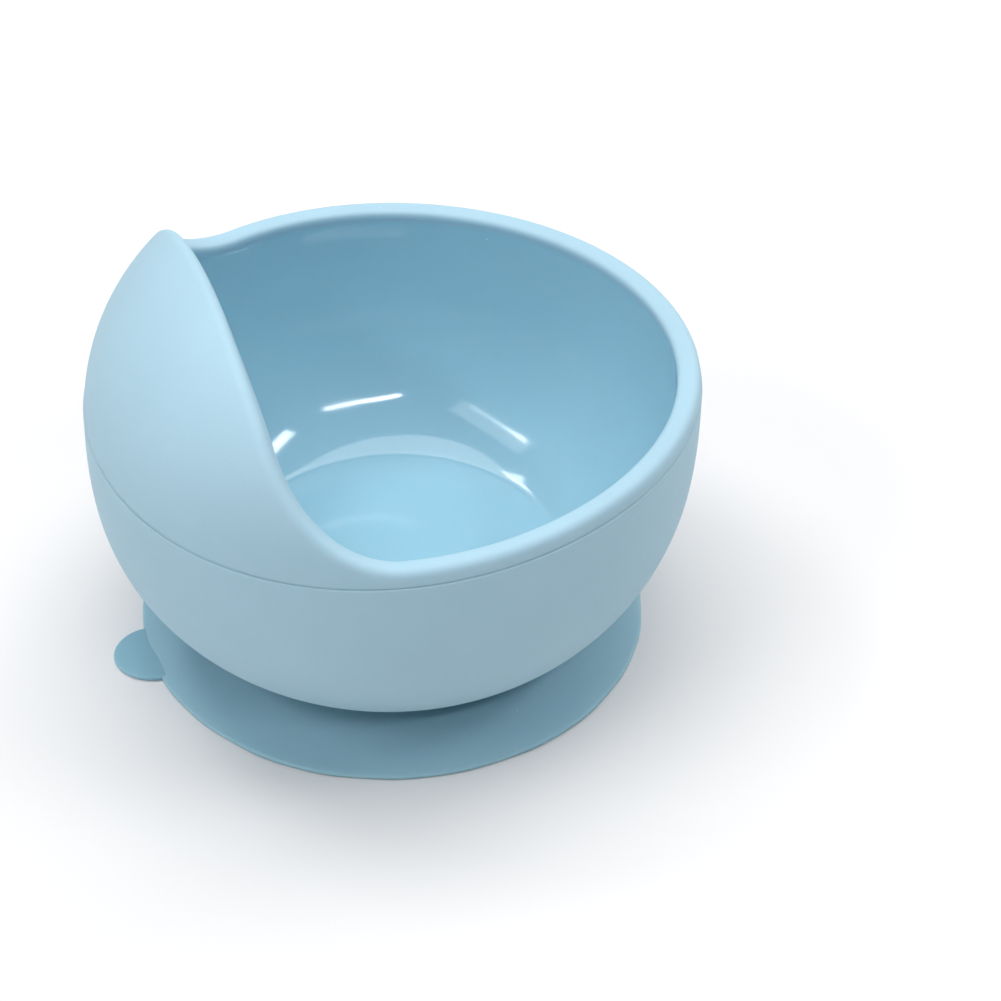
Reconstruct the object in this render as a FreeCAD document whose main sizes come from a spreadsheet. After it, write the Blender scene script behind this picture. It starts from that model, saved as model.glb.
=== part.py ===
"""Suction bowl for a baby's table: a thick silicone bowl with a spoon hood, standing on a suction cup.

Frame: millimetres, +Z up. The origin is on the table, on the bowl's own axis. The hood and the cup's
pull tab are on the -X side, so the XZ plane is the plane of symmetry.

Pieces
  bowl_body     bowl, rim and hood in one moulding; moves down as the cup is pressed flat
  cup_hub       thick middle of the suction cup, bonded under the bowl
  cup_web       thin conical wall of the cup, which flexes between the hub and the lip
  sealing_lip   outer ring that lies on the table and holds the vacuum, with the tab's root
  pull_tab      tongue on the lip that a finger lifts to let the air in
"""

import FreeCAD, Part

import math
import os
import re

import Sketcher

# ---------------------------------------------------------------- driving dimensions, millimetres
SIZES = [
    # the bowl's wall, as tangent arcs turned about its axis
    ("bowl_radius", 58.5, "largest outside radius of the bowl"),
    ("widest_height", 49.0, "height of that largest radius"),
    ("side_radius", 80.0, "gentle arc round the widest height"),
    ("side_bottom", 39.0, "height where the side arc meets the belly arc"),
    ("side_top", 57.0, "height where the side arc meets the crown arc"),
    ("belly_radius", 41.5, "arc from the side down to the underside"),
    ("crown_radius", 33.3, "arc from the side up over the hood"),
    ("wall", 4.5, "wall thickness of the bowl and hood"),
    ("underside", 6.6, "height of the bowl's flat underside"),
    ("heel_round", 3.0, "rounding between the underside and the belly"),
    ("floor_height", 11.6, "height of the flat floor inside"),
    ("floor_round", 8.0, "rounding between the floor and the wall inside"),
    # the cut that leaves the hood standing above the rim
    ("rim_top", 59.3, "height of the rim, level all round"),
    ("hood_setback", 31.9, "distance from the axis to the hood's open side"),
    ("hood_blend", 16.6, "concave radius from the rim up to the hood's open side"),
    ("rim_round", 1.9, "rounding of the rim's two edges, nearly half the wall"),
    ("cut_reach", 70.0, "distance that the cut runs past the axis"),
    ("cut_height", 100.0, "height that the cut runs up to"),
    # the suction cup
    ("cup_radius", 49.5, "outside radius of the sealing lip"),
    ("lip_width", 6.5, "radial width of the sealing lip"),
    ("land_width", 5.0, "flat width of the lip that touches the table"),
    ("lip_edge", 1.1, "thickness of the lip at its outer edge"),
    ("lip_root", 2.0, "height of the cup's top where the lip and the web meet"),
    ("lip_relief", 0.3, "height of the cup's vault where the lip and the web meet"),
    ("lip_round", 0.6, "rounding of the lip's upper outer edge"),
    ("hub_radius", 30.0, "radius where the web joins the hub"),
    ("hub_root", 4.0, "height of the cup's top where the web and the hub meet"),
    ("hub_relief", 2.5, "height of the cup's vault where the web and the hub meet"),
    ("vault", 3.2, "height of the cup's vault on the axis"),
    ("neck_round", 2.4, "concave rounding from the cup's top up to the neck"),
    ("flex_gap", 0.1, "gap drawn between the web and the hub, which move apart"),
    # the pull tab
    ("tab_centre", 48.4, "distance from the axis to the centre of the tab's round end"),
    ("tab_radius", 7.6, "radius of the tab's round end"),
    ("tab_thickness", 0.9, "thickness of the tab"),
    ("tab_root", 49.75, "distance from the axis to the straight end of the tab's root"),
    ("tab_gap", 0.1, "gap drawn between the tab's rounded inner end and the root"),
    ("tab_round", 0.4, "rounding of the tab's upper edge"),
]
NAMES = [alias for alias, size, meaning in SIZES]

doc = FreeCAD.newDocument("SuctionBowl")
sheet = doc.addObject("Spreadsheet::Sheet", "Sizes")
for row, (alias, size, meaning) in enumerate(SIZES, start=1):
    sheet.set("A%d" % row, alias)
    sheet.set("B%d" % row, str(size))
    sheet.setAlias("B%d" % row, alias)
    sheet.set("C%d" % row, meaning)
doc.recompute()


# ---------------------------------------------------------------- reading the sheet
def bound(expression):
    """The expression with each size's name read from the sheet."""
    return re.sub(r"[a-z_]+", lambda m: "Sizes." + m[0] if m[0] in NAMES else m[0], expression)


def value(expression):
    """What the expression is worth now, in millimetres."""
    return float(sheet.evalExpression(bound(expression)))


# ---------------------------------------------------------------- bodies and sketches
START, END, CENTRE = 1, 2, 3
ORIGIN = (-1, START)
UP_AXIS = -2
NEAR = 0.01
LEAST_CUT = 1.0  # a cut that takes away less than this has missed, in mm3


def new_body(name):
    """A sub-part's body, whose label is the name of its node and file."""
    body = doc.addObject("PartDesign::Body", name)
    body.Label = name
    body.Placement = FreeCAD.Placement()
    return body


def new_sketch(body, role, name):
    """A sketch on one of the body's own origin planes."""
    sketch = body.newObject("Sketcher::SketchObject", name)
    plane = [f for f in body.Origin.OriginFeatures if f.Role == role][0]
    sketch.AttachmentSupport = [(plane, "")]
    sketch.MapMode = "FlatFace"
    return sketch


def line(a, b):
    """A straight edge from point a to point b."""
    return Part.LineSegment(FreeCAD.Vector(*a, 0), FreeCAD.Vector(*b, 0))


def arc(centre, radius, first, last):
    """An arc that runs anticlockwise from angle first to angle last, in degrees."""
    circle = Part.Circle(FreeCAD.Vector(*centre, 0), FreeCAD.Vector(0, 0, 1), radius)
    return Part.ArcOfCircle(circle, math.radians(first), math.radians(last))


def chain(sketch, edges, smooth=(), hollow=()):
    """Adds edges head to tail, anticlockwise round a closed outline.

    The outline is tangent after each edge listed in smooth. An arc listed in hollow bends into the
    outline, so it is passed from its end to its start.
    """
    for edge in edges:
        sketch.addGeometry(edge, False)
    for index in range(len(edges)):
        following = (index + 1) % len(edges)
        leaves = START if index in hollow else END
        enters = END if following in hollow else START
        kind = "Tangent" if index in smooth else "Coincident"
        sketch.addConstraint(Sketcher.Constraint(kind, index, leaves, following, enters))


def fix(sketch, kind, *where, to):
    """A dimension of the sketch, held to an expression over the sheet."""
    index = sketch.addConstraint(Sketcher.Constraint(kind, *where, value(to)))
    sketch.setExpression("Constraints[%d]" % index, bound(to))


def level(sketch, *edges):
    """Holds straight edges horizontal."""
    for edge in edges:
        sketch.addConstraint(Sketcher.Constraint("Horizontal", edge))


def upright(sketch, *edges):
    """Holds straight edges vertical."""
    for edge in edges:
        sketch.addConstraint(Sketcher.Constraint("Vertical", edge))


def turn(body, kind, sketch, name):
    """A full turn of the sketch about the bowl's axis, added or cut away."""
    feature = body.newObject("PartDesign::" + kind, name)
    feature.Profile = (sketch, [""])
    feature.ReferenceAxis = (sketch, ["V_Axis"])
    feature.Angle = 360.0
    return feature


def pin(sketch, corners):
    """Holds each listed edge's start point at its radius and height."""
    for edge, (radius, height) in corners.items():
        if radius == "0":
            sketch.addConstraint(Sketcher.Constraint("PointOnObject", edge, START, UP_AXIS))
        else:
            fix(sketch, "DistanceX", *ORIGIN, edge, START, to=radius)
        if height == "0":
            sketch.addConstraint(Sketcher.Constraint("PointOnObject", edge, START, -1))
        else:
            fix(sketch, "DistanceY", *ORIGIN, edge, START, to=height)


def polygon(sketch, corners):
    """A closed outline of straight edges through corners given as (radius, height) expressions."""
    points = [(value(radius), value(height)) for radius, height in corners]
    chain(sketch, [line(p, q) for p, q in zip(points, points[1:] + points[:1])])
    pin(sketch, dict(enumerate(corners)))


def edges_where(shape, test):
    """The names of the edges whose middle point passes the test."""
    names = []
    for number, edge in enumerate(shape.Edges, start=1):
        middle = edge.valueAt((edge.FirstParameter + edge.LastParameter) / 2)
        if test(middle):
            names.append("Edge%d" % number)
    return names


def check_cut(before, after, name):
    """Stops if a feature that should cut material away left the volume as it was."""
    if after.Shape.Volume > before.Shape.Volume - LEAST_CUT:
        raise RuntimeError(name + " cut nothing")


# ---------------------------------------------------------------- bowl_body
def dome(body, name, depth, bottom, rounding):
    """The outline of half the bowl as a closed dome, depth inside its outer surface.

    From the axis it runs along the flat bottom, round the corner, up the belly, side and crown arcs
    to the top, and back down the axis. The hood's cut removes all of it near the top.
    """
    sketch = new_sketch(body, "XZ_Plane", name)
    side = value("side_radius - %s" % depth)
    belly = value("belly_radius - %s" % depth)
    crown = value("crown_radius - %s" % depth)
    low = math.degrees(math.asin(value("(widest_height - side_bottom) / side_radius")))
    high = math.degrees(math.asin(value("(side_top - widest_height) / side_radius")))
    side_centre = (value("bowl_radius - side_radius"), value("widest_height"))

    def centre_along(angle, shift):
        return (side_centre[0] + shift * math.cos(math.radians(angle)),
                side_centre[1] + shift * math.sin(math.radians(angle)))

    belly_centre = centre_along(-low, side - belly)
    crown_centre = centre_along(high, side - crown)
    floor, corner = value(bottom), value(rounding)
    corner_height = floor + corner
    lean = math.degrees(math.asin((belly_centre[1] - corner_height) / (belly - corner)))
    corner_out = belly_centre[0] + (belly - corner) * math.cos(math.radians(lean))
    top = crown_centre[1] + crown
    chain(sketch, [
        line((0, floor), (corner_out, floor)),
        arc((corner_out, corner_height), corner, -90, -lean),
        arc(belly_centre, belly, -lean, -low),
        arc(side_centre, side, -low, high),
        arc(crown_centre, crown, high, 90),
        line((crown_centre[0], top), (0, top)),
        line((0, top), (0, floor)),
    ], smooth=(0, 1, 2, 3, 4))
    level(sketch, 0)
    sketch.addConstraint(Sketcher.Constraint("PointOnObject", 0, START, UP_AXIS))
    sketch.addConstraint(Sketcher.Constraint("PointOnObject", 6, START, UP_AXIS))
    level(sketch, 5)
    fix(sketch, "DistanceY", *ORIGIN, 0, START, to=bottom)
    fix(sketch, "Radius", 1, to=rounding)
    fix(sketch, "Radius", 2, to="belly_radius - %s" % depth)
    fix(sketch, "Radius", 3, to="side_radius - %s" % depth)
    fix(sketch, "Radius", 4, to="crown_radius - %s" % depth)
    fix(sketch, "DistanceX", 3, CENTRE, *ORIGIN, to="side_radius - bowl_radius")
    fix(sketch, "DistanceY", *ORIGIN, 3, CENTRE, to="widest_height")
    fix(sketch, "DistanceY", 3, START, 3, CENTRE,
        to="(side_radius - %s) * (widest_height - side_bottom) / side_radius" % depth)
    fix(sketch, "DistanceY", 3, CENTRE, 3, END,
        to="(side_radius - %s) * (side_top - widest_height) / side_radius" % depth)
    return sketch


def hood_cut(body):
    """The side view of what is cut away above the rim: level, up round the blend, then upright."""
    sketch = new_sketch(body, "XZ_Plane", "hood_cut_outline")
    setback, blend, rim = value("hood_setback"), value("hood_blend"), value("rim_top")
    reach, top = value("cut_reach"), value("cut_height")
    chain(sketch, [
        line((blend - setback, rim), (reach, rim)),
        line((reach, rim), (reach, top)),
        line((reach, top), (-setback, top)),
        line((-setback, top), (-setback, rim + blend)),
        arc((blend - setback, rim + blend), blend, 180, 270),
    ], smooth=(3, 4))
    level(sketch, 0, 2)
    upright(sketch, 1, 3)
    fix(sketch, "Radius", 4, to="hood_blend")
    fix(sketch, "DistanceY", *ORIGIN, 0, END, to="rim_top")
    fix(sketch, "DistanceX", *ORIGIN, 0, END, to="cut_reach")
    fix(sketch, "DistanceY", *ORIGIN, 1, END, to="cut_height")
    fix(sketch, "DistanceX", 2, END, *ORIGIN, to="hood_setback")
    return sketch


def on_cut(point):
    """True where a point lies on the surface that the hood's cut leaves."""
    setback, blend, rim = value("hood_setback"), value("hood_blend"), value("rim_top")
    if point.x > blend - setback:
        return abs(point.z - rim) < NEAR
    if point.z > rim + blend:
        return abs(point.x + setback) < NEAR
    return abs(math.hypot(point.x + setback - blend, point.z - rim - blend) - blend) < NEAR


def rim_edges(shape):
    """The names of the edges that run along the rim and hood, and not those across the wall."""
    names = []
    cut_faces = [f for f in shape.Faces if on_cut(f.valueAt(*middle_of(f)))]
    for number, edge in enumerate(shape.Edges, start=1):
        beside = [f for f in cut_faces if any(e.isSame(edge) for e in f.Edges)]
        if len(beside) == 1:
            names.append("Edge%d" % number)
    return names


def middle_of(face):
    """The surface parameters of a point well inside a face."""
    u_low, u_high, v_low, v_high = face.ParameterRange
    return (u_low + u_high) / 2, (v_low + v_high) / 2


def make_bowl_body():
    """Turned solid, hollowed, cut open above the rim and rounded all along its edge."""
    body = new_body("bowl_body")
    outline = dome(body, "outside_outline", "0", "underside", "heel_round")
    outside = turn(body, "Revolution", outline, "outside")
    doc.recompute()
    outline = dome(body, "inside_outline", "wall", "floor_height", "floor_round")
    inside = turn(body, "Groove", outline, "hollow")
    doc.recompute()
    check_cut(outside, inside, "hollow")
    opening = body.newObject("PartDesign::Pocket", "opening")
    opening.Profile = (hood_cut(body), [""])
    opening.Type = "Length"
    opening.SideType = "Symmetric"
    opening.setExpression("Length", bound("2 * cut_reach"))
    doc.recompute()
    check_cut(inside, opening, "opening")
    rounding = body.newObject("PartDesign::Fillet", "rim_rounding")
    rounding.Base = (opening, rim_edges(opening.Shape))
    rounding.setExpression("Radius", bound("rim_round"))
    doc.recompute()
    return body


# ---------------------------------------------------------------- the suction cup
def make_cup_hub():
    """A thick disc under the bowl: vaulted below, with a concave neck round its upper edge."""
    body = new_body("cup_hub")
    sketch = new_sketch(body, "XZ_Plane", "hub_outline")
    hub, root, neck, top = value("hub_radius"), value("hub_root"), value("neck_round"), value("underside")
    chain(sketch, [
        line((0, value("vault")), (hub, value("hub_relief"))),
        line((hub, value("hub_relief")), (hub, root)),
        arc((hub, root + neck), neck, 180, 270),
        line((hub - neck, root + neck), (hub - neck, top)),
        line((hub - neck, top), (0, top)),
        line((0, top), (0, value("vault"))),
    ], smooth=(2,), hollow=(2,))
    level(sketch, 4)
    upright(sketch, 1, 3, 5)
    pin(sketch, {0: ("0", "vault"), 1: ("hub_radius", "hub_relief")})
    fix(sketch, "DistanceY", *ORIGIN, 1, END, to="hub_root")
    fix(sketch, "DistanceY", *ORIGIN, 4, START, to="underside")
    fix(sketch, "Radius", 2, to="neck_round")
    sketch.addConstraint(Sketcher.Constraint("Vertical", 2, CENTRE, 1, END))
    turn(body, "Revolution", sketch, "hub")
    doc.recompute()
    return body


def make_cup_web():
    """The thin cone between the hub and the lip."""
    body = new_body("cup_web")
    sketch = new_sketch(body, "XZ_Plane", "web_outline")
    polygon(sketch, [
        ("hub_radius + flex_gap", "hub_relief"),
        ("cup_radius - lip_width", "lip_relief"),
        ("cup_radius - lip_width", "lip_root"),
        ("hub_radius + flex_gap", "hub_root"),
    ])
    turn(body, "Revolution", sketch, "web")
    doc.recompute()
    return body


def tab_root_outline(body):
    """A strip across the lip's edge, as wide as the tab is at its bending line."""
    sketch = new_sketch(body, "XY_Plane", "tab_root_outline")
    far, near = value("tab_root"), value("cup_radius - land_width")
    half_width = "sqrt(tab_radius ^ 2 - (tab_root - tab_centre) ^ 2)"
    side = value(half_width)
    chain(sketch, [
        line((-far, -side), (-near, -side)),
        line((-near, -side), (-near, side)),
        line((-near, side), (-far, side)),
        line((-far, side), (-far, -side)),
    ])
    level(sketch, 0, 2)
    upright(sketch, 1)
    sketch.addConstraint(Sketcher.Constraint("Symmetric", 3, START, 3, END, -1))
    fix(sketch, "DistanceX", 1, START, *ORIGIN, to="cup_radius - land_width")
    fix(sketch, "DistanceX", 0, START, *ORIGIN, to="tab_root")
    fix(sketch, "DistanceY", 0, START, *ORIGIN, to=half_width)
    return sketch


def make_sealing_lip():
    """The ring on the table, tapering outwards, with a flat root for the pull tab let into its edge."""
    body = new_body("sealing_lip")
    sketch = new_sketch(body, "XZ_Plane", "lip_outline")
    polygon(sketch, [
        ("cup_radius - lip_width", "lip_relief"),
        ("cup_radius - land_width", "0"),
        ("cup_radius", "0"),
        ("cup_radius", "lip_edge"),
        ("cup_radius - lip_width", "lip_root"),
    ])
    ring = turn(body, "Revolution", sketch, "ring")
    doc.recompute()
    rounding = body.newObject("PartDesign::Fillet", "edge_rounding")
    rounding.Base = (ring, edges_where(ring.Shape, lambda p: math.hypot(p.x, p.y) > value("cup_radius") - NEAR
                                       and p.z > value("lip_edge") - NEAR))
    rounding.setExpression("Radius", bound("lip_round"))
    doc.recompute()
    root = body.newObject("PartDesign::Pad", "tab_root_pad")
    root.Profile = (tab_root_outline(body), [""])
    root.setExpression("Length", bound("tab_thickness"))
    doc.recompute()
    return body


# ---------------------------------------------------------------- the pull tab
TAB_HINGE = "tab_root + tab_gap + tab_thickness / 2"  # from the axis to the tab's bending line


def make_pull_tab():
    """A flat round-ended tongue beside the lip. Its upper edge is rounded, and its inner end is a
    half round about the bending line."""
    body = new_body("pull_tab")
    sketch = new_sketch(body, "XY_Plane", "tab_outline")
    centre, radius, chord = value("tab_centre"), value("tab_radius"), value(TAB_HINGE)
    half_angle = math.degrees(math.acos((chord - centre) / radius))
    side = radius * math.sin(math.radians(half_angle))
    chain(sketch, [
        arc((-centre, 0), radius, 180 - half_angle, 180 + half_angle),
        line((-chord, -side), (-chord, side)),
    ])
    upright(sketch, 1)
    sketch.addConstraint(Sketcher.Constraint("PointOnObject", 0, CENTRE, -1))
    fix(sketch, "Radius", 0, to="tab_radius")
    fix(sketch, "DistanceX", 0, CENTRE, *ORIGIN, to="tab_centre")
    fix(sketch, "DistanceX", 1, END, *ORIGIN, to=TAB_HINGE)
    tongue = body.newObject("PartDesign::Pad", "tongue")
    tongue.Profile = (sketch, [""])
    tongue.setExpression("Length", bound("tab_thickness"))
    doc.recompute()
    rounding = body.newObject("PartDesign::Fillet", "tab_rounding")
    rounding.Base = (tongue, edges_where(tongue.Shape, lambda p: p.z > value("tab_thickness") - NEAR
                                         and p.x < -chord - NEAR))
    rounding.setExpression("Radius", bound("tab_round"))
    doc.recompute()
    end_sketch = new_sketch(body, "XZ_Plane", "tab_end_outline")
    thickness = value("tab_thickness")
    chain(end_sketch, [
        arc((-chord, thickness / 2), thickness / 2, -90, 90),
        line((-chord, thickness), (-chord, 0)),
    ])
    upright(end_sketch, 1)
    end_sketch.addConstraint(Sketcher.Constraint("PointOnObject", 0, CENTRE, 1))
    end_sketch.addConstraint(Sketcher.Constraint("PointOnObject", 1, END, -1))
    fix(end_sketch, "Radius", 0, to="tab_thickness / 2")
    fix(end_sketch, "DistanceX", 1, END, *ORIGIN, to=TAB_HINGE)
    end = body.newObject("PartDesign::Pad", "rounded_end")
    end.Profile = (end_sketch, [""])
    end.Midplane = True
    end.setExpression("Length", bound(
        "2 * (sqrt(tab_radius ^ 2 - (%s - tab_centre) ^ 2) - tab_round)" % TAB_HINGE))
    doc.recompute()
    return body


# ---------------------------------------------------------------- build, check and write
pieces = [make_bowl_body(), make_cup_hub(), make_cup_web(), make_sealing_lip(), make_pull_tab()]
doc.recompute()

for item in doc.Objects:
    if "Invalid" in item.State or "Error" in item.State:
        raise RuntimeError(item.Name + " failed: " + str(item.State))
for piece in pieces:
    if piece.Shape.isNull() or not piece.Shape.isValid() or len(piece.Shape.Solids) != 1:
        raise RuntimeError(piece.Label + " is not one valid solid")

os.makedirs("parts", exist_ok=True)
for piece in pieces:
    piece.Shape.exportStep("parts/%s.step" % piece.Label)
    box = piece.Shape.BoundBox
    print("%-12s %10.1f mm3  x %.2f..%.2f  y %.2f..%.2f  z %.2f..%.2f" % (
        piece.Label, piece.Shape.Volume, box.XMin, box.XMax, box.YMin, box.YMax, box.ZMin, box.ZMax))
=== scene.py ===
"""A child's silicone bowl with a raised spill hood, the suction cup that holds it to the
table, and the pull tab that lets the air back in."""

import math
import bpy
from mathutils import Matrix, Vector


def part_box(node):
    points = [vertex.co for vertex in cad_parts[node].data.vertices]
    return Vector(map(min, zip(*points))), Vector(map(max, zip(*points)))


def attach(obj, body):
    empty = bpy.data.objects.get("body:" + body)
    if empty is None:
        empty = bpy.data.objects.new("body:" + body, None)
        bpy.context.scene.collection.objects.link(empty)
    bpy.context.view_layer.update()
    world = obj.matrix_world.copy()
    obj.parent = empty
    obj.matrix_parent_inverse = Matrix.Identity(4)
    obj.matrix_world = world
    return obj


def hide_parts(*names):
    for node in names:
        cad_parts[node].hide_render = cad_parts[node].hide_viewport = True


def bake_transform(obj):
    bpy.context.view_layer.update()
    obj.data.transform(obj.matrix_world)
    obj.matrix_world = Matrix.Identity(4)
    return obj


bl_info = {
    "name": "Suction Bowl",
    "version": (1, 0, 0),
    "blender": (4, 5, 0),
    "location": "3D View > Sidebar > Suction Bowl",
    "description": "Makes a silicone bowl with a spill hood, a suction cup and a pull tab",
    "category": "Add Mesh",
}

import bmesh
import bpy
from bpy.props import FloatProperty, FloatVectorProperty, IntProperty, PointerProperty
from mathutils import Matrix, Quaternion, Vector

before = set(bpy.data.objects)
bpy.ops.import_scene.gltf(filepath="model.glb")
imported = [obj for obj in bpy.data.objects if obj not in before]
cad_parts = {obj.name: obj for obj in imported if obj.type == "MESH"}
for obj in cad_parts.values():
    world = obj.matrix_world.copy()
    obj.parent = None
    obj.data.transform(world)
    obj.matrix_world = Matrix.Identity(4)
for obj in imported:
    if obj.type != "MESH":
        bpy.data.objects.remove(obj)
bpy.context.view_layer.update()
bowl_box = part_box("bowl_body")
hub_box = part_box("cup_hub")
lip_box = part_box("sealing_lip")

SKIN_DEPTH = 2.5e-5  # depth of the relief that the mould leaves on the silicone
HOOD_RING = 0.030  # height of the plain ring that becomes the rim and the hood
INNER_EDGE = 1.7  # how much squarer the rim is on its inside than on its outside
DUST = (0.78, 0.84, 0.87, 1.0)  # colour of a dust speck
WALL_GLOW = 0.9  # how bright the studio's walls look
RIPPLES = ((5.0, 0.4, 0.6), (11.0, 1.9, 0.42), (23.0, 0.8, 0.3))  # waves round, start, share
RIPPLE_RISE = 5.0 / 6.0  # how far a ripple goes up for each step outwards
MERGE = 1e-7  # two points nearer than this are one, in metres


# Sizes and colours


def length(name, description, default):
    return FloatProperty(
        name=name,
        description=description,
        default=default,
        min=0.0,
        precision=5,
        subtype="DISTANCE",
        unit="LENGTH",
    )


def amount(name, description, default, top=1.0):
    return FloatProperty(name=name, description=description, default=default, min=0.0, max=top)


def colour(name, description, default):
    return FloatVectorProperty(
        name=name,
        description=description,
        default=default,
        min=0.0,
        max=1.0,
        size=3,
        subtype="COLOR",
    )


def place(name, description, default):
    return FloatVectorProperty(
        name=name, description=description, default=default, size=3, precision=5,
        subtype="TRANSLATION", unit="LENGTH",
    )


def power(name, description, default):
    return FloatProperty(
        name=name, description=description, default=default, min=0.0, subtype="POWER", unit="POWER",
    )


def direction(name, description, degrees):
    return FloatProperty(
        name=name, description=description, default=math.radians(degrees), subtype="ANGLE",
        unit="ROTATION",
    )


class BowlSizes(bpy.types.PropertyGroup):
    radius: length("Radius", "Half the bowl's width at its widest",
                   (bowl_box[1].y - bowl_box[0].y) / 2)
    widest: length("Widest at", "Height at which the bowl is widest", 0.049)
    side_radius: length("Side arc", "Radius of the nearly upright side", 0.080)
    side_bottom: length("Side from", "Height at which the side takes over from the belly", 0.039)
    side_top: length("Side to", "Height at which the hood starts to turn in", 0.057)
    belly: length("Belly arc", "Radius of the round lower part", 0.0415)
    crown: length("Hood arc", "Radius with which the hood turns over the bowl", 0.0333)
    wall: length("Wall", "Thickness of the silicone", 0.0045)
    underside: length("Underside", "Height of the bowl's flat underside", bowl_box[0].z)
    heel: length("Heel", "Rounding between the underside and the belly", 0.003)
    floor: length("Floor", "Height of the floor inside", 0.0116)
    floor_round: length("Floor round", "Rounding between the floor and the wall inside", 0.0045)
    rim: length("Rim", "Height of the level part of the rim", 0.0593)
    hood_back: length("Hood edge", "How far the hood's edge stands behind the middle", 0.0319)
    hood_sweep: length("Hood sweep", "Radius with which the rim sweeps up into the hood", 0.0166)
    mould_line: length("Mould line", "Height up to which the lower mould half reaches", 0.0564)
    mould_step: length("Mould step", "How far the lower half stands proud at that line", 0.00018)
    rim_square: FloatProperty(
        name="Rim squareness", description="2 is a round rim, more is flatter on top", default=2.5,
        min=2.0, max=6.0,
    )
    columns: IntProperty(
        name="Columns", description="Divisions round the bowl", default=288, min=32,
    )
    hood_rows: IntProperty(name="Hood rows", description="Divisions up the hood", default=34, min=4)


class BowlSoftness(bpy.types.PropertyGroup):
    """How far the soft bowl has relaxed out of round, measured at the rim."""

    shift: length("Shift", "How far the rim has moved to one side", 0.0004)
    shift_to: direction("Shift to", "Where it has moved to", 7.6)
    oval: length("Oval", "How far the rim is drawn into an oval", 0.00173)
    oval_along: direction("Oval along", "Direction of the oval's long side", 15.4)
    egg: length("Egg", "How far the rim is drawn into three soft corners", 0.0010)
    egg_to: direction("Egg to", "Direction of the first soft corner", 2.5)
    tilt: length("Tilt", "How far the rim is raised on one side", 0.0012)
    tilt_to: direction("Tilt to", "The side on which it is raised", 145.0)
    saddle: length("Saddle", "How far the rim is bent like a saddle", 0.0010)
    saddle_across: direction("Saddle across", "Direction in which the saddle is raised", 87.0)
    build: FloatProperty(
        name="Build", description="How late up the wall the softness sets in", default=1.5, min=0.5,
        max=4.0,
    )


class CupSizes(bpy.types.PropertyGroup):
    radius: length("Radius", "Outer radius of the sealing lip", (lip_box[1].y - lip_box[0].y) / 2)
    land: length("Land", "Width of the ring that lies on the table", 0.005)
    lip: length("Lip", "Width of the sealing lip", 0.0065)
    edge: length("Edge", "Thickness at the outer edge", 0.0011)
    root: length("Root", "Thickness where the lip meets the thin web", lip_box[1].z)
    relief: length("Relief", "Clearance under the lip's inner edge", 0.0003)
    hub: length("Hub", "Radius of the thick middle", 0.030)
    hub_root: length("Hub root", "Height of the web where it meets the hub", 0.004)
    hub_relief: length("Hub relief", "Clearance under the hub's edge", 0.0025)
    vault: length("Vault", "Clearance under the middle", 0.0032)
    neck: length("Neck", "Radius of the hollow neck under the bowl", 0.0024)
    top: length("Top", "Height at which the cup joins the bowl", hub_box[1].z)
    ripple: length("Ripple", "How far the trimmed edge wanders", 0.00018)
    oval: length("Oval", "How far the thin cup is drawn out of round, each way", 0.0009)
    oval_along: direction("Oval along", "Direction of the oval's long side", 159.5)
    shift: length("Shift", "How far the lip has crept that way", 0.0005)
    columns: IntProperty(name="Columns", description="Divisions round the cup", default=288, min=32)


class TabSizes(bpy.types.PropertyGroup):
    centre: length("Centre", "Distance of the tab's round end from the bowl's middle", 0.0484)
    radius: length("Radius", "Radius of the tab's round end", 0.0076)
    thick: length("Thickness", "Thickness of the tab, just under the lip's edge", 0.00100)
    rounding: length("Rounding", "Rounding along the tab's edge", 0.0005)
    turn: direction("Turn", "How far round the lip the tab sits from the hood's middle", 2.4)
    root: length("Root", "How far out the tab starts, buried in the lip", 0.0474)


class Finishes(bpy.types.PropertyGroup):
    outside: colour("Outside", "Colour of the silk finish outside", (0.365, 0.550, 0.655))
    inside: colour("Inside", "Colour of the polished inside", (0.330, 0.570, 0.685))
    cup: colour("Suction cup", "Colour of the suction cup", (0.305, 0.512, 0.612))
    # The tab is the cup's silicone; its darker colour is painted shade, for the shade under the
    # lip's edge.
    tab: colour("Pull tab", "Colour of the pull tab", (0.250, 0.455, 0.560))
    cloud: amount("Cloud", "How much the pigment varies from place to place", 0.035)
    silk: amount("Silk", "Roughness of the silk finish", 0.58)
    polish: amount("Polish", "Roughness of the polished inside", 0.085)
    floor: colour("Floor", "Colour of the studio floor", (0.77, 0.765, 0.77))


class StageSettings(bpy.types.PropertyGroup):
    eye: place("Camera", "Where the camera stands", (-0.13812, -0.42905, 0.40941))
    aim: place("Aim", "The point the camera looks at", (0.02501, 0.00663, 0.01539))
    roll: FloatProperty(
        name="Roll", description="Tilt of the camera about its own axis",
        default=math.radians(-0.32), subtype="ANGLE", unit="ROTATION",
    )
    lens: FloatProperty(
        name="Lens", description="Focal length on a 36 mm frame", default=107.9, min=1.0,
        subtype="DISTANCE_CAMERA",
    )
    overhead: power("Overhead", "Power of the large soft box above", 17.0)
    left: power("Left", "Power of the soft box on the left", 3.1)
    right: power("Right", "Power of the soft box on the right", 3.0)
    strips: power("Strips", "Power of each strip light round the bowl", 0.75)
    sky: amount("Sky", "Strength of the even light all round", 0.12, 10.0)


# Outlines turned on a lathe


def begin(bm, x, z):
    return bm.verts.new((x, 0.0, z))


def run(bm, vert, x, z, steps=1):
    """Draws the outline straight on to a point, in even steps."""
    start = vert.co.copy()
    for step in range(1, steps + 1):
        vert = bmesh.ops.extrude_vert_indiv(bm, verts=[vert])["verts"][0]
        vert.co = start.lerp(Vector((x, 0.0, z)), step / steps)
    return vert


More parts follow.
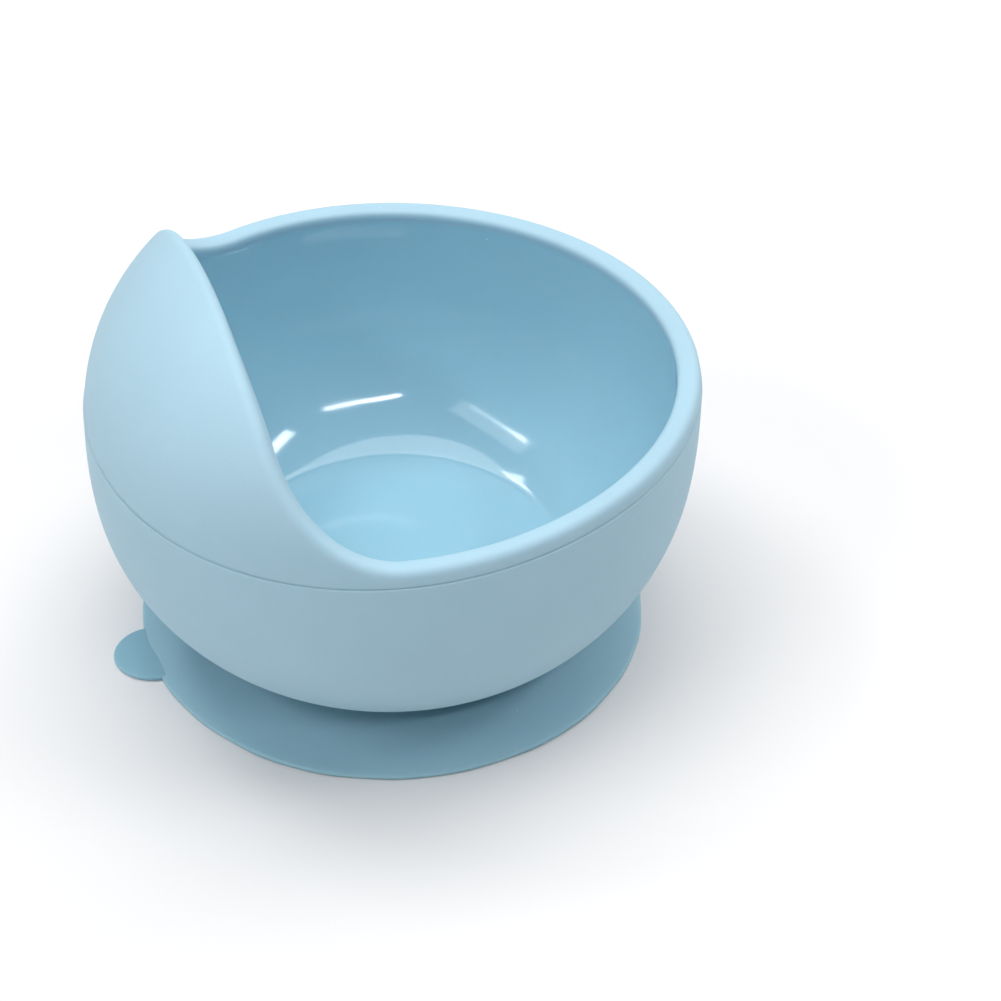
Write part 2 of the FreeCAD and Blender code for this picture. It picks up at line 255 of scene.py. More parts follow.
def sweep(bm, vert, centre, radians, steps):
    """Draws the outline round a centre, anticlockwise if the angle is positive."""
    made = bmesh.ops.spin(
        bm, geom=[vert], cent=(centre[0], 0.0, centre[1]), axis=(0.0, -1.0, 0.0),
        angle=radians, steps=steps, use_merge=False, use_duplicate=False,
    )
    return next(g for g in made["geom_last"] if isinstance(g, bmesh.types.BMVert))


def lathe(bm, columns):
    """Turns the outline once round the Z axis and closes it."""
    bmesh.ops.spin(
        bm, geom=bm.verts[:] + bm.edges[:], cent=(0.0, 0.0, 0.0), axis=(0.0, 0.0, 1.0),
        angle=math.tau, steps=columns, use_merge=True, use_duplicate=False,
    )
    bmesh.ops.remove_doubles(bm, verts=bm.verts[:], dist=MERGE)
    bmesh.ops.dissolve_degenerate(bm, edges=bm.edges[:], dist=MERGE)
    bmesh.ops.recalc_face_normals(bm, faces=bm.faces[:])


def finish_piece(bm, name, materials):
    """Turns a finished bmesh into an object that stands where its mesh is."""
    for face in bm.faces:
        face.smooth = True
    mesh = bpy.data.meshes.new(name)
    bm.to_mesh(mesh)
    bm.free()
    for material in materials:
        mesh.materials.append(material)
    piece = bpy.data.objects.new(name, mesh)
    bpy.context.scene.collection.objects.link(piece)
    return piece


# The bowl's shape


class BowlShape:
    """Where the middle of the wall runs, and where the rim cuts it."""

    def __init__(self, sizes):
        self.sizes = sizes
        half = sizes.wall / 2
        self.side_centre = (sizes.radius - sizes.side_radius, sizes.widest)
        self.belly_turn = math.asin((sizes.side_bottom - sizes.widest) / sizes.side_radius)
        self.crown_turn = math.asin((sizes.side_top - sizes.widest) / sizes.side_radius)
        self.line_turn = math.asin((sizes.mould_line - sizes.widest) / sizes.side_radius)
        self.belly_centre = self.inward(self.belly_turn, sizes.belly)
        self.crown_centre = self.inward(self.crown_turn, sizes.crown)
        self.side_mid = sizes.side_radius - half
        self.crown_mid = sizes.crown - half
        self.side_run = self.side_mid * (self.crown_turn - self.line_turn)
        self.rim_mid = sizes.rim - half
        self.edge_mid = sizes.hood_back + half
        self.sweep_mid = sizes.hood_sweep + half
        self.sweep_x = sizes.hood_sweep - sizes.hood_back
        self.sweep_z = sizes.rim + sizes.hood_sweep
        self.trace_rim()

    def inward(self, turn, radius):
        """The centre of an arc that carries on smoothly from the side arc."""
        reach = self.sizes.side_radius - radius
        x, z = self.side_centre
        return (x + reach * math.cos(turn), z + reach * math.sin(turn))

    def wall(self, run):
        """Radius, height and slope of the wall's middle, at a distance above the mould line."""
        if run < self.side_run:
            turn = self.line_turn + run / self.side_mid
            centre, radius = self.side_centre, self.side_mid
        else:
            turn = self.crown_turn + (run - self.side_run) / self.crown_mid
            centre, radius = self.crown_centre, self.crown_mid
        x, z = centre
        return x + radius * math.cos(turn), z + radius * math.sin(turn), turn

    def run_at(self, z):
        """The distance above the mould line at which the wall's middle has this height."""
        turn = math.asin((z - self.crown_centre[1]) / self.crown_mid)
        if turn < self.crown_turn:
            turn = math.asin((z - self.side_centre[1]) / self.side_mid)
            return (turn - self.line_turn) * self.side_mid
        return self.side_run + (turn - self.crown_turn) * self.crown_mid

    def run_at_radius(self, r):
        turn = math.acos((r - self.crown_centre[0]) / self.crown_mid)
        return self.side_run + (turn - self.crown_turn) * self.crown_mid

    def point(self, angle, run):
        r, z, _ = self.wall(run)
        return Vector((r * math.cos(angle), r * math.sin(angle), z))

    def normal(self, angle, run):
        turn = self.wall(run)[2]
        return Vector(
            (math.cos(turn) * math.cos(angle), math.cos(turn) * math.sin(angle), math.sin(turn))
        )

    def trace_rim(self, steps=400):
        """Follows the rim from the front to the hood's peak: level, then sweeping up the
        side of the hood, then over the hood at a steady distance behind the middle."""
        track = []
        level_run = self.run_at(self.rim_mid)
        level_r = self.wall(level_run)[0]
        level_end = math.acos(self.sweep_x / level_r)
        for step in range(steps):
            track.append((level_end * step / steps, level_run))
        for step in range(steps):
            turn = math.pi / 2 * step / steps
            x = self.sweep_x - self.sweep_mid * math.sin(turn)
            run = self.run_at(self.sweep_z - self.sweep_mid * math.cos(turn))
            track.append((math.acos(x / self.wall(run)[0]), run))
        edge_run = self.run_at(self.sweep_z)
        edge_angle = math.acos(-self.edge_mid / self.wall(edge_run)[0])
        for step in range(steps + 1):
            angle = edge_angle + (math.pi - edge_angle) * step / steps
            track.append((angle, self.run_at_radius(-self.edge_mid / math.cos(angle))))
        distance = [0.0]
        for before, after in zip(track, track[1:]):
            gap = (self.point(*after) - self.point(*before)).length
            distance.append(distance[-1] + gap)
        self.track, self.distance = track, distance

    def rim(self, angle):
        """Angle and run of the rim's middle for one column of the bowl, shared out evenly."""
        along = abs(angle) / math.pi * self.distance[-1]
        low, high = 0, len(self.distance) - 1
        while high - low > 1:
            middle = (low + high) // 2
            if self.distance[middle] > along:
                high = middle
            else:
                low = middle
        gap = self.distance[high] - self.distance[low]
        part = min(1.0, (along - self.distance[low]) / gap)
        turn = self.track[low][0] + part * (self.track[high][0] - self.track[low][0])
        run = self.track[low][1] + part * (self.track[high][1] - self.track[low][1])
        return math.copysign(turn, angle), run

    def rim_frame(self, angle):
        """The rim's middle, the wall's normal there and the direction out of the rim."""
        turn, run = self.rim(angle)
        step = 0.004
        low, high = max(-math.pi, angle - step), min(math.pi, angle + step)
        along = self.point(*self.rim(high)) - self.point(*self.rim(low))
        normal = self.normal(turn, run)
        return self.point(turn, run), normal, normal.cross(along).normalized()


# Depth below the mould line, and how far the wall stands out there, in mould steps. The lower
# half swells out a hair's breadth, and a fine groove runs where the halves met.
MOULD_SEAM = (
    (0.0060, 0.0), (0.0040, 0.15), (0.0022, 0.45), (0.0010, 0.8), (0.00042, 1.0),
    (0.00032, 0.9), (0.00024, -1.0), (0.00014, -1.0), (0.0, 0.0),
)


def draw_bowl(bm, shape):
    """Draws the bowl's outline: under it, up the outside, over the rim and down the inside.
    Above the mould line the wall is left as a plain upright ring, for raise_hood to shape.
    """
    sizes = shape.sizes
    half = sizes.wall / 2
    belly_x, belly_z = shape.belly_centre
    reach = sizes.belly - sizes.heel
    drop = belly_z - sizes.underside - sizes.heel
    heel_x = belly_x + math.sqrt(reach * reach - drop * drop)
    heel_turn = -math.asin(drop / reach)
    vert = begin(bm, 0.0, sizes.underside)
    vert = run(bm, vert, heel_x, sizes.underside, 3)
    vert = sweep(bm, vert, (heel_x, sizes.underside + sizes.heel), heel_turn + math.pi / 2, 5)
    vert = sweep(bm, vert, shape.belly_centre, shape.belly_turn - heel_turn, 34)
    turn = math.asin((sizes.mould_line - MOULD_SEAM[0][0] - sizes.widest) / sizes.side_radius)
    vert = sweep(bm, vert, shape.side_centre, turn - shape.belly_turn, 12)
    for depth, part in MOULD_SEAM[1:]:
        turn = math.asin((sizes.mould_line - depth - sizes.widest) / sizes.side_radius)
        x = shape.side_centre[0] + (sizes.side_radius + part * sizes.mould_step) * math.cos(turn)
        vert = run(bm, vert, x, sizes.mould_line - depth)
    outer_x, top = vert.co.x, sizes.mould_line + HOOD_RING
    vert = run(bm, vert, outer_x, top, sizes.hood_rows)
    vert = sweep(bm, vert, (outer_x - half, top), math.pi, 18)
    vert = run(bm, vert, outer_x - sizes.wall, sizes.mould_line + HOOD_RING / sizes.hood_rows,
               sizes.hood_rows - 1)
    inner = sizes.side_radius - sizes.wall
    x = shape.side_centre[0] + inner * math.cos(shape.line_turn)
    z = shape.side_centre[1] + inner * math.sin(shape.line_turn)
    vert = run(bm, vert, x, z)
    vert = sweep(bm, vert, shape.side_centre, shape.belly_turn - shape.line_turn, 14)
    reach = sizes.belly - sizes.wall - sizes.floor_round
    drop = belly_z - sizes.floor - sizes.floor_round
    floor_x = belly_x + math.sqrt(reach * reach - drop * drop)
    floor_turn = -math.asin(drop / reach)
    vert = sweep(bm, vert, shape.belly_centre, floor_turn - shape.belly_turn, 32)
    vert = sweep(bm, vert, (floor_x, sizes.floor + sizes.floor_round),
                 -math.pi / 2 - floor_turn, 10)
    run(bm, vert, 0.0, sizes.floor, 8)
    return outer_x - half


def polished(face, sizes):
    """True for a face inside the bowl, below the rounded rim."""
    centre = face.calc_center_median()
    outward = Vector((centre.x, centre.y, 0.0)).normalized()
    if face.normal.dot(outward) < -0.3:
        return centre.z < sizes.mould_line + HOOD_RING
    return face.normal.z > 0.3 and centre.z < sizes.widest and face.normal.dot(outward) < 0.1


def squared(normal, out, beside, above, sizes):
    """A point of the rim's rounding, pushed out a little towards a square."""
    half = sizes.wall / 2
    square = sizes.rim_square if beside > 0.0 else INNER_EDGE * sizes.rim_square
    share = (abs(beside) / half) ** square + (above / half) ** square
    return (normal * beside + out * above) * share ** (-1.0 / square)


def raise_hood(bm, shape, middle):
    """Carries the plain ring above the mould line to the rim and up into the hood."""
    sizes = shape.sizes
    frames = {}
    for vert in bm.verts:
        if vert.co.z <= sizes.mould_line + MERGE:
            continue
        angle = math.atan2(vert.co.y, vert.co.x)
        key = round(angle * 1e6)
        if key not in frames:
            frames[key] = (shape.rim(angle), shape.rim_frame(angle))
        (turn, run_up), (rim_point, rim_normal, rim_out) = frames[key]
        beside = math.hypot(vert.co.x, vert.co.y) - middle
        above = vert.co.z - sizes.mould_line - HOOD_RING
        if above > -MERGE:
            vert.co = rim_point + squared(rim_normal, rim_out, beside, max(0.0, above), sizes)
            continue
        part = 1.0 + above / HOOD_RING
        here = angle + (turn - angle) * part
        up = run_up * part
        vert.co = shape.point(here, up) + shape.normal(here, up) * beside


def relax(bm, sizes, soft):
    """Lets the soft wall ease out of round above its stiff base, as silicone does."""
    for vert in bm.verts:
        x, y, z = vert.co
        rise = max(0.0, (z - sizes.underside) / (sizes.rim - sizes.underside)) ** soft.build
        angle = math.atan2(y, x)
        weight = rise * math.hypot(x, y) / sizes.radius
        spread = soft.shift * math.cos(angle - soft.shift_to)
        spread += soft.oval * math.cos(2.0 * (angle - soft.oval_along))
        spread += soft.egg * math.cos(3.0 * (angle - soft.egg_to))
        lift = soft.tilt * math.cos(angle - soft.tilt_to)
        lift += soft.saddle * math.cos(2.0 * (angle - soft.saddle_across))
        vert.co += weight * Vector((spread * math.cos(angle), spread * math.sin(angle), lift))


# Finishes


def nodes_of(tree):
    tree.nodes.clear()
    return tree.nodes, tree.links


def add(nodes, kind, x, y, label="", **values):
    """Adds a node; values name its attributes, or its inputs by their names."""
    node = nodes.new(kind)
    node.location = (x, y)
    node.label = label
    for name, value in values.items():
        if hasattr(node, name):
            setattr(node, name, value)
        else:
            node.inputs[name.replace("_", " ")].default_value = value
    return node


def group(name, ins, outs):
    """An empty node group with named sockets; ins give (name, kind, default)."""
    tree = bpy.data.node_groups.new(name, "ShaderNodeTree")
    for label, kind, default in ins:
        socket = tree.interface.new_socket(label, in_out="INPUT", socket_type=kind)
        socket.default_value = default
    for label, kind in outs:
        tree.interface.new_socket(label, in_out="OUTPUT", socket_type=kind)
    entry = tree.nodes.new("NodeGroupInput")
    entry.location = (-900, 0)
    leave = tree.nodes.new("NodeGroupOutput")
    leave.location = (700, 0)
    return tree, entry, leave


def math_node(nodes, operation, x, y, *values):
    node = nodes.new("ShaderNodeMath")
    node.operation = operation
    node.location = (x, y)
    for slot, value in enumerate(values):
        if value is not None:
            node.inputs[slot].default_value = value
    return node


def pigment_group():
    """Pigment that is a little denser in some places than in others."""
    tree, entry, leave = group(
        "Pigment",
        [("Color", "NodeSocketColor", (0.5, 0.5, 0.5, 1.0)), ("Cloud", "NodeSocketFloat", 0.04),
         ("Scale", "NodeSocketFloat", 30.0)],
        [("Color", "NodeSocketColor")],
    )
    nodes, links = tree.nodes, tree.links
    where = add(nodes, "ShaderNodeTexCoord", -900, -250)
    clouds = add(nodes, "ShaderNodeTexNoise", -650, -150, "pigment clouds", Detail=3.0,
                 Roughness=0.55)
    fine = add(nodes, "ShaderNodeTexNoise", -650, -400, "pigment grains", Scale=900.0, Detail=2.0)
    links.new(where.outputs["Object"], clouds.inputs["Vector"])
    links.new(where.outputs["Object"], fine.inputs["Vector"])
    links.new(entry.outputs["Scale"], clouds.inputs["Scale"])
    both = math_node(nodes, "MULTIPLY_ADD", -420, -250, None, 0.25, None)
    links.new(fine.outputs["Fac"], both.inputs[0])
    links.new(clouds.outputs["Fac"], both.inputs[2])
    centred = math_node(nodes, "SUBTRACT", -250, -250, None, 0.625)
    links.new(both.outputs[0], centred.inputs[0])
    weighed = math_node(nodes, "MULTIPLY", -90, -250)
    links.new(centred.outputs[0], weighed.inputs[0])
    links.new(entry.outputs["Cloud"], weighed.inputs[1])
    bright = math_node(nodes, "MULTIPLY_ADD", 70, -250, None, 3.0, 1.0)
    links.new(weighed.outputs[0], bright.inputs[0])
    tint = add(nodes, "ShaderNodeHueSaturation", 300, 0, "tint")
    links.new(entry.outputs["Color"], tint.inputs["Color"])
    links.new(bright.outputs[0], tint.inputs["Value"])
    links.new(tint.outputs["Color"], leave.inputs["Color"])
    return tree


def skin_group():
    """The fine skin that the mould leaves: a silk grain over a slow unevenness."""
    tree, entry, leave = group(
        "Moulded Skin",
        [("Grain", "NodeSocketFloat", 1.0), ("Grain Scale", "NodeSocketFloat", 1400.0),
         ("Waves", "NodeSocketFloat", 1.0), ("Wave Scale", "NodeSocketFloat", 70.0)],
        [("Height", "NodeSocketFloat"), ("Mottle", "NodeSocketFloat")],
    )
    nodes, links = tree.nodes, tree.links
    where = add(nodes, "ShaderNodeTexCoord", -900, -250)
    grain = add(nodes, "ShaderNodeTexNoise", -600, 150, "silk grain", Detail=2.0, Roughness=0.6)
    waves = add(nodes, "ShaderNodeTexNoise", -600, -150, "slow unevenness", Detail=2.0,
                Roughness=0.4)
    for node, scale in ((grain, "Grain Scale"), (waves, "Wave Scale")):
        links.new(where.outputs["Object"], node.inputs["Vector"])
        links.new(entry.outputs[scale], node.inputs["Scale"])
    fine = math_node(nodes, "MULTIPLY", -350, 150)
    slow = math_node(nodes, "MULTIPLY", -350, -150)
    both = math_node(nodes, "ADD", -100, 0)
    links.new(grain.outputs["Fac"], fine.inputs[0])
    links.new(entry.outputs["Grain"], fine.inputs[1])
    links.new(waves.outputs["Fac"], slow.inputs[0])
    links.new(entry.outputs["Waves"], slow.inputs[1])
    links.new(fine.outputs[0], both.inputs[0])
    links.new(slow.outputs[0], both.inputs[1])
    links.new(both.outputs[0], leave.inputs["Height"])
    links.new(waves.outputs["Fac"], leave.inputs["Mottle"])
    return tree


def dust_group():
    """Scattered specks of dust, which silicone always gathers."""
    tree, entry, leave = group(
        "Dust",
        [("Size", "NodeSocketFloat", 0.05), ("Scale", "NodeSocketFloat", 260.0),
         ("Share", "NodeSocketFloat", 0.04)],
        [("Mask", "NodeSocketFloat")],
    )
    nodes, links = tree.nodes, tree.links
    where = add(nodes, "ShaderNodeTexCoord", -900, -250)
    cells = add(nodes, "ShaderNodeTexVoronoi", -600, 0, "specks")
    links.new(where.outputs["Object"], cells.inputs["Vector"])
    links.new(entry.outputs["Scale"], cells.inputs["Scale"])
    near = math_node(nodes, "LESS_THAN", -350, 100)
    links.new(cells.outputs["Distance"], near.inputs[0])
    links.new(entry.outputs["Size"], near.inputs[1])
    split = add(nodes, "ShaderNodeSeparateColor", -350, -100)
    links.new(cells.outputs["Color"], split.inputs["Color"])
    chosen = math_node(nodes, "LESS_THAN", -150, -100)
    links.new(split.outputs["Red"], chosen.inputs[0])
    links.new(entry.outputs["Share"], chosen.inputs[1])
    mask = math_node(nodes, "MULTIPLY", 100, 0)
    links.new(near.outputs[0], mask.inputs[0])
    links.new(chosen.outputs[0], mask.inputs[1])
    links.new(mask.outputs[0], leave.inputs["Mask"])
    return tree


def silicone(name, tint, cloud, roughness, spread, grain, waves, depth, shine):
    """Pigmented silicone: a soft, slightly translucent body under a moulded skin."""
    material = bpy.data.materials.get(name)
    if material:
        return material
    material = bpy.data.materials.new(name)
    material.use_nodes = True
    nodes, links = nodes_of(material.node_tree)
    out = add(nodes, "ShaderNodeOutputMaterial", 900, 0)
    body = add(
        nodes, "ShaderNodeBsdfPrincipled", 600, 0, "silicone", IOR=1.42,
        Subsurface_Weight=0.22, Subsurface_Scale=0.0035,
        Subsurface_Radius=(0.6, 0.9, 1.0), Specular_IOR_Level=shine,
    )
    links.new(body.outputs["BSDF"], out.inputs["Surface"])
    pigment = add(nodes, "ShaderNodeGroup", -200, 250, "pigment", node_tree=shared("Pigment"))
    pigment.inputs["Color"].default_value = (*tint, 1.0)
    pigment.inputs["Cloud"].default_value = cloud
    skin = add(nodes, "ShaderNodeGroup", -500, -250, "skin", node_tree=shared("Moulded Skin"))
    skin.inputs["Grain"].default_value = grain
    skin.inputs["Waves"].default_value = waves
    dust = add(nodes, "ShaderNodeGroup", -500, 0, "dust", node_tree=shared("Dust"))
    dusted = add(nodes, "ShaderNodeMix", 200, 250, "dust on the colour", data_type="RGBA")
    faint = math_node(nodes, "MULTIPLY", 0, 80, None, 0.35)
    links.new(dust.outputs["Mask"], faint.inputs[0])
    links.new(faint.outputs[0], dusted.inputs[0])
    links.new(pigment.outputs["Color"], dusted.inputs[6])
    dusted.inputs[7].default_value = DUST
    links.new(dusted.outputs[2], body.inputs["Base Color"])
    sheen = add(nodes, "ShaderNodeMapRange", -200, -50, "roughness", To_Min=roughness - spread,
                To_Max=roughness + spread)
    sheen.inputs["From Min"].default_value = 0.3
    sheen.inputs["From Max"].default_value = 0.7
    links.new(skin.outputs["Mottle"], sheen.inputs["Value"])
    rough = math_node(nodes, "MULTIPLY_ADD", 200, 0, None, 0.25, None)
    links.new(dust.outputs["Mask"], rough.inputs[0])
    links.new(sheen.outputs["Result"], rough.inputs[2])
    links.new(rough.outputs[0], body.inputs["Roughness"])
    relief = add(nodes, "ShaderNodeBump", 300, -300, "relief", Strength=1.0, Distance=depth)
    links.new(skin.outputs["Height"], relief.inputs["Height"])
    links.new(relief.outputs["Normal"], body.inputs["Normal"])
    return material


def shared(name):
    """A node group, made the first time that it is wanted."""
    makers = {"Pigment": pigment_group, "Moulded Skin": skin_group, "Dust": dust_group}
    return bpy.data.node_groups.get(name) or makers[name]()


def outside_finish():
    finish = bpy.context.scene.bowl_finishes
    return silicone("silk silicone", finish.outside, finish.cloud, finish.silk, spread=0.04,
                    grain=1.0, waves=1.2, depth=SKIN_DEPTH, shine=0.3)


def inside_finish():
    finish = bpy.context.scene.bowl_finishes
    return silicone("polished silicone", finish.inside, finish.cloud, finish.polish, spread=0.02,
                    grain=0.05, waves=2.2, depth=SKIN_DEPTH, shine=0.8)


def cup_finish():
    finish = bpy.context.scene.bowl_finishes
    return silicone("cup silicone", finish.cup, finish.cloud, finish.silk - 0.12, spread=0.05,
                    grain=0.6, waves=1.4, depth=SKIN_DEPTH, shine=0.35)


# The cup silicone in the tab's darker colour: painted shade, for the shade under the lip's edge.
def tab_finish_painted_shade():
    finish = bpy.context.scene.bowl_finishes
    return silicone("tab silicone painted shade", finish.tab, finish.cloud, finish.silk - 0.12, spread=0.05,
                    grain=0.6, waves=1.4, depth=SKIN_DEPTH, shine=0.35)


# Operators


class SUCTIONBOWL_OT_bowl(bpy.types.Operator):
    """Make the bowl with its rolled rim and its hood"""

    bl_idname = "suction_bowl.bowl"
    bl_label = "Bowl"
    bl_options = {"REGISTER", "UNDO"}

    def execute(self, context):
        sizes = context.scene.bowl_sizes
        shape = BowlShape(sizes)
        bm = bmesh.new()
        middle = draw_bowl(bm, shape)
        lathe(bm, sizes.columns)
        for face in bm.faces:
            face.material_index = 1 if polished(face, sizes) else 0
        raise_hood(bm, shape, middle)
        relax(bm, sizes, context.scene.bowl_softness)
        piece = finish_piece(bm, "bowl", (outside_finish(), inside_finish()))
        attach(piece, "bowl")
        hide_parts("bowl_body")
        return {"FINISHED"}


def settle(bm, sizes):
    """Lets the thin cup lie a little out of round on the table, outside its stiff hub."""
    along = Vector((math.cos(sizes.oval_along), math.sin(sizes.oval_along), 0.0))
    for vert in bm.verts:
        reach = math.hypot(vert.co.x, vert.co.y)
        weight = max(0.0, (reach - sizes.hub) / (sizes.radius - sizes.hub))
        vert.co += along * weight * (vert.co.dot(along) / sizes.radius * sizes.oval + sizes.shift)


class SUCTIONBOWL_OT_cup(bpy.types.Operator):
    """Make the suction cup: the hub under the bowl, the thin web and the sealing lip"""

    bl_idname = "suction_bowl.cup"
    bl_label = "Suction cup"
    bl_options = {"REGISTER", "UNDO"}

    def execute(self, context):
        sizes = context.scene.cup_sizes
        bm = bmesh.new()
        inner = sizes.radius - sizes.lip
        vert = begin(bm, 0.0, sizes.vault)
        vert = run(bm, vert, sizes.hub, sizes.hub_relief, 6)
        vert = run(bm, vert, inner, sizes.relief, 6)
        vert = run(bm, vert, sizes.radius - sizes.land, 0.0, 2)
        vert = run(bm, vert, sizes.radius - sizes.edge * 0.45, 0.0, 4)
        vert = sweep(bm, vert, (sizes.radius - sizes.edge * 0.45, sizes.edge * 0.45),
                     math.radians(172.0), 10)
        vert = run(bm, vert, inner, sizes.root, 8)
        vert = run(bm, vert, sizes.hub, sizes.hub_root, 12)
        vert = sweep(bm, vert, (sizes.hub, sizes.hub_root + sizes.neck), -math.pi / 2, 8)
        vert = run(bm, vert, sizes.hub - sizes.neck, sizes.top)
        run(bm, vert, 0.0, sizes.top, 3)
        lathe(bm, sizes.columns)
        for vert in bm.verts:
            x, y, z = vert.co
            reach = math.hypot(x, y)
            angle = math.atan2(y, x)
            near_edge = max(0.0, (reach - inner) / sizes.lip)
            wander = sum(share * math.sin(waves * angle + start) for waves, start, share in RIPPLES)
            wander *= sizes.ripple * near_edge ** 2
            vert.co.x += wander * math.cos(angle)
            vert.co.y += wander * math.sin(angle)
            if z > sizes.edge / 2:
                vert.co.z += wander * RIPPLE_RISE
        settle(bm, sizes)
        piece = finish_piece(bm, "suction_cup", (cup_finish(),))
        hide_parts("sealing_lip", "cup_web", "cup_hub")
        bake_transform(piece)
        return {"FINISHED"}


class SUCTIONBOWL_OT_tab(bpy.types.Operator):
    """Make the round pull tab at the edge of the suction cup"""

    bl_idname = "suction_bowl.tab"
    bl_label = "Pull tab"
    bl_options = {"REGISTER", "UNDO"}

    def execute(self, context):
        sizes = context.scene.tab_sizes
        bm = bmesh.new()
        bmesh.ops.create_circle(
            bm, cap_ends=True, radius=sizes.radius, segments=96,
            matrix=Matrix.Translation((-sizes.centre, 0.0, 0.0)),
        )
        bmesh.ops.bisect_plane(
            bm, geom=bm.verts[:] + bm.edges[:] + bm.faces[:], dist=MERGE,
            plane_co=(-sizes.root, 0.0, 0.0), plane_no=(1.0, 0.0, 0.0), clear_outer=True,
        )
        top = bmesh.ops.extrude_face_region(bm, geom=bm.faces[:])["geom"]
        bmesh.ops.translate(bm, vec=(0.0, 0.0, sizes.thick),
                            verts=[g for g in top if isinstance(g, bmesh.types.BMVert)])
        bmesh.ops.recalc_face_normals(bm, faces=bm.faces[:])
        rims = [e for e in bm.edges
                if abs(e.verts[0].co.z - e.verts[1].co.z) < MERGE
                and min(v.co.x for v in e.verts) < -sizes.root - MERGE]
        bmesh.ops.bevel(
            bm, geom=rims, offset=sizes.rounding, offset_type="OFFSET", segments=5,
            profile=0.5, affect="EDGES", clamp_overlap=True, material=-1,
        )
        bmesh.ops.rotate(bm, verts=bm.verts[:], cent=(0.0, 0.0, 0.0),
                         matrix=Matrix.Rotation(-sizes.turn, 3, "Z"))
        settle(bm, context.scene.cup_sizes)
        piece = finish_piece(bm, "pull_tab_piece", (tab_finish_painted_shade(),))
        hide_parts("pull_tab")
        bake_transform(piece)
        return {"FINISHED"}


def studio_floor(tint):
    bm = bmesh.new()
    bmesh.ops.create_grid(bm, x_segments=8, y_segments=8, size=1.2)
    floor = finish_piece(bm, "studio_floor", ())
    material = bpy.data.materials.new("studio paper")
    material.use_nodes = True
    nodes, links = nodes_of(material.node_tree)
    out = add(nodes, "ShaderNodeOutputMaterial", 400, 0)
    paper = add(nodes, "ShaderNodeBsdfPrincipled", 100, 0, "paper", Roughness=0.75)
    paper.inputs["Base Color"].default_value = (*tint, 1.0)
    links.new(paper.outputs["BSDF"], out.inputs["Surface"])
    floor.data.materials.append(material)


def soft_light(name, power, where, width, height, shape="RECTANGLE", aim=(0.0, 0.0, 0.03)):
    light = bpy.data.lights.new(name, "AREA")
    light.shape = shape
    light.size, light.size_y = width, height
    light.energy = power
    lamp = bpy.data.objects.new(name, light)
    lamp.location = where
    lamp.rotation_mode = "QUATERNION"
    lamp.rotation_quaternion = (Vector(aim) - Vector(where)).to_track_quat("-Z", "Y")
    bpy.context.scene.collection.objects.link(lamp)
    return lamp


def studio_walls(strength):
    """Walls that give an even light, and look as pale as the floor."""
    world = bpy.data.worlds.new("studio")
    world.use_nodes = True
    nodes, links = nodes_of(world.node_tree)
    out = add(nodes, "ShaderNodeOutputWorld", 400, 0)
    seen = add(nodes, "ShaderNodeLightPath", -300, 200)
    level = add(nodes, "ShaderNodeMix", -50, 150, "seen or lighting")
    level.inputs["A"].default_value = strength
    level.inputs["B"].default_value = WALL_GLOW
    links.new(seen.outputs["Is Camera Ray"], level.inputs["Factor"])
    back = add(nodes, "ShaderNodeBackground", 200, 0, Color=(1.0, 0.995, 1.0, 1.0))
    links.new(level.outputs["Result"], back.inputs["Strength"])
    links.new(back.outputs["Background"], out.inputs["Surface"])
    return world


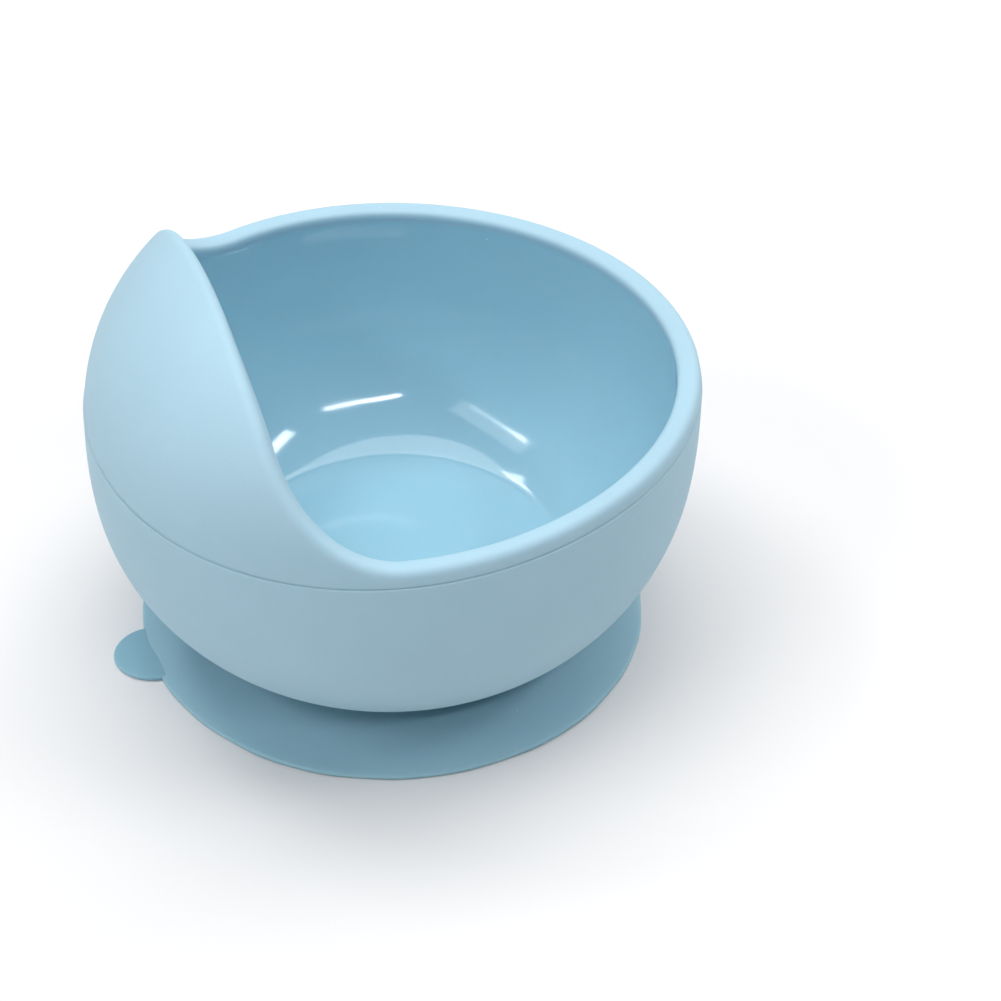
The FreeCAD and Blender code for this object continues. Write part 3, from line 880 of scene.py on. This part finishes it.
class SUCTIONBOWL_OT_stage(bpy.types.Operator):
    """Set the pale floor, the soft lights and the camera"""

    bl_idname = "suction_bowl.stage"
    bl_label = "Stage"
    bl_options = {"REGISTER", "UNDO"}

    def execute(self, context):
        scene = context.scene
        settings = scene.bowl_stage
        studio_floor(scene.bowl_finishes.floor)
        soft_light("overhead", settings.overhead, (0.02, 0.26, 1.42), 1.55, 1.55, "ELLIPSE")
        soft_light("left box", settings.left, (-0.85, -0.15, 0.65), 0.70, 0.70)
        soft_light("right box", settings.right, (0.80, 0.35, 0.50), 0.60, 0.60)
        soft_light("back box", settings.strips * 1.5, (-0.33, 0.40, 0.80), 0.28, 0.13)
        soft_light("front strip", settings.strips * 1.9, (-0.01, -0.63, 0.71), 0.50, 0.038)
        soft_light("left strip", settings.strips, (-0.64, -0.09, 0.70), 0.48, 0.038)
        soft_light("right strip", settings.strips * 1.5, (0.53, -0.32, 0.72), 0.28, 0.08)
        scene.world = studio_walls(settings.sky)
        camera = bpy.data.cameras.new("camera")
        camera.lens = settings.lens
        camera.sensor_width = 36.0
        camera.clip_start, camera.clip_end = 0.01, 20.0
        holder = bpy.data.objects.new("camera", camera)
        holder.location = settings.eye
        holder.rotation_mode = "QUATERNION"
        look = (Vector(settings.aim) - Vector(settings.eye)).to_track_quat("-Z", "Y")
        holder.rotation_quaternion = look @ Quaternion((0.0, 0.0, 1.0), -settings.roll)
        scene.collection.objects.link(holder)
        scene.camera = holder
        scene.view_settings.view_transform = "Standard"
        scene.view_settings.look = "None"
        return {"FINISHED"}


class SUCTIONBOWL_PT_panel(bpy.types.Panel):
    bl_idname = "SUCTIONBOWL_PT_panel"
    bl_label = "Suction Bowl"
    bl_space_type = "VIEW_3D"
    bl_region_type = "UI"
    bl_category = "Suction Bowl"

    def draw(self, context):
        for operator, *groups in PIECES:
            box = self.layout.box()
            box.operator(operator.bl_idname)
            for group_name in groups:
                settings = getattr(context.scene, group_name)
                for name in settings.__annotations__:
                    box.prop(settings, name)


SETTINGS = (
    (BowlSizes, "bowl_sizes"),
    (BowlSoftness, "bowl_softness"),
    (CupSizes, "cup_sizes"),
    (TabSizes, "tab_sizes"),
    (Finishes, "bowl_finishes"),
    (StageSettings, "bowl_stage"),
)
PIECES = (
    (SUCTIONBOWL_OT_bowl, "bowl_sizes", "bowl_softness", "bowl_finishes"),
    (SUCTIONBOWL_OT_cup, "cup_sizes"),
    (SUCTIONBOWL_OT_tab, "tab_sizes"),
    (SUCTIONBOWL_OT_stage, "bowl_stage"),
)


def register():
    for settings, name in SETTINGS:
        bpy.utils.register_class(settings)
        setattr(bpy.types.Scene, name, PointerProperty(type=settings))
    for operator, *_ in PIECES:
        bpy.utils.register_class(operator)
    bpy.utils.register_class(SUCTIONBOWL_PT_panel)


def unregister():
    bpy.utils.unregister_class(SUCTIONBOWL_PT_panel)
    for operator, *_ in reversed(PIECES):
        bpy.utils.unregister_class(operator)
    for settings, name in reversed(SETTINGS):
        delattr(bpy.types.Scene, name)
        bpy.utils.unregister_class(settings)


def main():
    register()
    bpy.ops.suction_bowl.bowl()
    bpy.ops.suction_bowl.cup()
    bpy.ops.suction_bowl.tab()
    bpy.ops.suction_bowl.stage()


if __name__ == "__main__":
    main()
